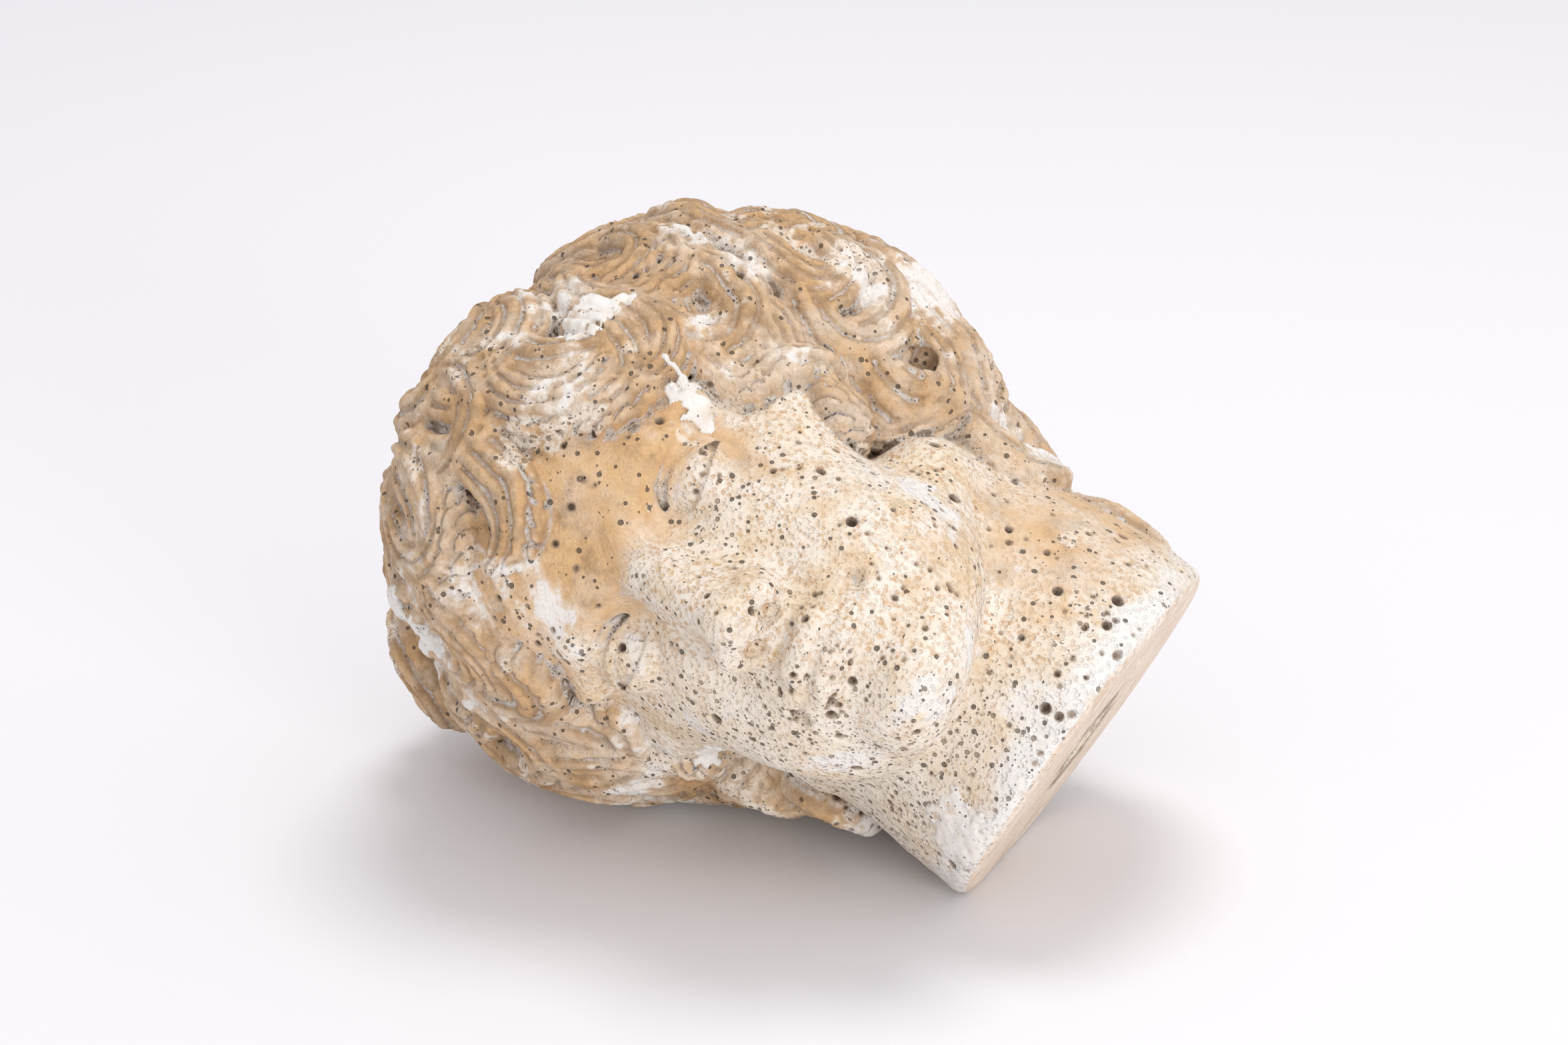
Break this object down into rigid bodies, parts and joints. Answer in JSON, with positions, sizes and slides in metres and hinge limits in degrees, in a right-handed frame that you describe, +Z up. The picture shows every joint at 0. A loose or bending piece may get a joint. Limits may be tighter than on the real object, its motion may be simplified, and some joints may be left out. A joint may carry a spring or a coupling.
{
  "type": "marble head",
  "caption": "Life-size marble head of a curly-haired youth, sawn flat below the chin and lying on its side, with a dowel socket in the cut, a leaded dowel stump and patches of lime crust.",
  "frame": {"origin": "bottom centre of the bounding box of the head as it lies", "axes": "+Z up; +X along the longest extent, from the crown of the head towards the sawn neck; -Y is the side that the face looks to"},
  "size_m": [0.2904, 0.271, 0.2261],
  "materials": {
    "marble": "weathered, bored by sea creatures, ochre patina",
    "lime_crust": "chalky white",
    "lead": "dull, oxidised lead",
    "rusty_iron": "rusted"
  },
  "bodies": {
    "root": {"marble_head": "marble", "lime_crust_neck": "lime_crust", "lime_crust_hair_left": "lime_crust", "lime_crust_hair_right": "lime_crust", "lime_crust_brow": "lime_crust", "lime_crust_cheek": "lime_crust", "lead_packing": "lead", "iron_dowel_stump": "rusty_iron"}
  },
  "joints": []
}
